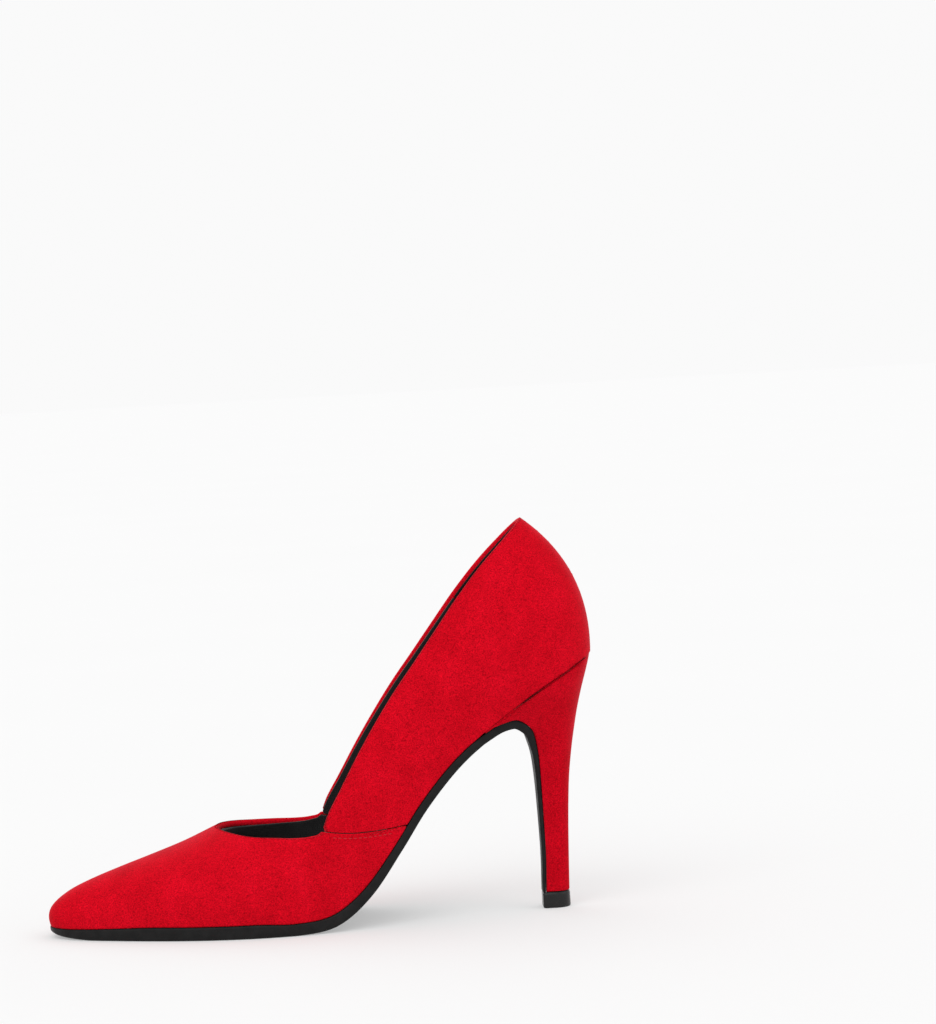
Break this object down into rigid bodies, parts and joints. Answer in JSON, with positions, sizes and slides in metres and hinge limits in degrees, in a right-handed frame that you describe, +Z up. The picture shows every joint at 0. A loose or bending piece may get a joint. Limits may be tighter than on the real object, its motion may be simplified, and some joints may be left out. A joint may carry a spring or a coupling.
{
  "type": "high heel pump",
  "caption": "Closed-toe stiletto pump for the left foot, suede upper with an almond toe, rubber sole running down the heel breast, and a pull-out heel tip.",
  "frame": {"origin": "middle of the heel tip's ground face", "axes": "+Z up from the ground, -X toward the toe, -Y toward the outer side of the foot"},
  "size_m": [0.2274, 0.076, 0.161],
  "materials": {
    "suede": "short matt red nap",
    "interlining": "woven cotton backing",
    "stiffener": "impregnated thermoplastic sheet",
    "lining": "black smooth lining",
    "heel_grip": "black napped lining",
    "fibre_board": "pressed cellulose board",
    "shank_board": "dense pressed fibre board",
    "foam": "open cell foam sheet",
    "filler": "cork and felt sheet",
    "sock": "black smooth insole cover",
    "sole_rubber": "black matt moulded rubber",
    "heel_plastic": "moulded ABS",
    "top_piece_plastic": "black polished polyurethane",
    "steel": "plain steel"
  },
  "bodies": {
    "shoe": {"vamp": "suede", "quarter_lateral": "suede", "quarter_medial": "suede", "toe_puff": "stiffener", "vamp_interlining": "interlining", "quarter_interlining_lateral": "interlining", "quarter_interlining_medial": "interlining", "heel_counter": "stiffener", "vamp_lining": "lining", "quarter_lining_lateral": "lining", "quarter_lining_medial": "lining", "heel_grip": "heel_grip", "insole_board": "fibre_board", "forepart_cushion": "foam", "shank_board": "shank_board", "steel_shank": "steel", "shank_rivet_front": "steel", "shank_rivet_rear": "steel", "bottom_filler": "filler", "sock_lining": "sock", "outsole": "sole_rubber", "heel_core": "heel_plastic", "heel_cover": "suede", "heel_tube": "steel", "heel_screw": "steel", "heel_nail_1": "steel", "heel_nail_2": "steel", "heel_nail_3": "steel", "heel_nail_4": "steel"},
    "heel_tip": {"top_piece": "top_piece_plastic", "top_piece_pin": "steel"}
  },
  "joints": [
    {"name": "heel_tip_pull", "type": "slide", "parent": "shoe", "child": "heel_tip", "axis": [0, 0, -1], "range_m": [0, 0.02]}
  ]
}
